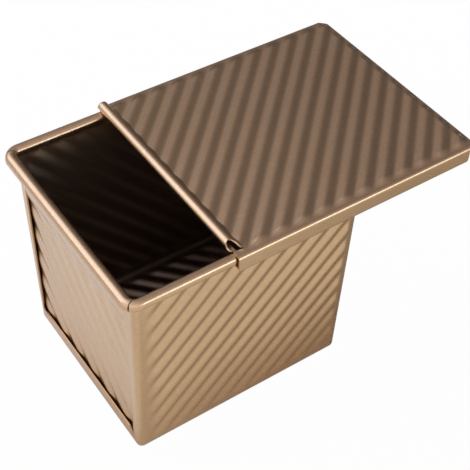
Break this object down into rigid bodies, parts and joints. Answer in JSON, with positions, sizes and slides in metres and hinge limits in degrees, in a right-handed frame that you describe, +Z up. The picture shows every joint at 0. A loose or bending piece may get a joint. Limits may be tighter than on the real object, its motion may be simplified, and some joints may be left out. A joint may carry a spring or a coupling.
{
  "type": "lidded loaf pan",
  "caption": "Deep corrugated sheet-metal loaf pan with a rolled wired rim and a lid that slides along its long rims.",
  "frame": {"origin": "middle of the pan's flat underside, on the surface it stands on", "axes": "+Z up; +X along the slide, the way the lid opens; the lid's pull points to -X"},
  "size_m": [0.1838, 0.1164, 0.1148],
  "materials": {
    "coated_steel": "gold non-stick coating, satin metallic",
    "wire_steel": "plain drawn wire"
  },
  "bodies": {
    "pan": {"body_sheet": "coated_steel", "rim_wire": "wire_steel"},
    "lid": {"lid_sheet": "coated_steel"}
  },
  "joints": [
    {"name": "lid_slide", "type": "slide", "parent": "pan", "child": "lid", "axis": [1, 0, 0], "range_m": [-0.0549, 0.05]}
  ]
}
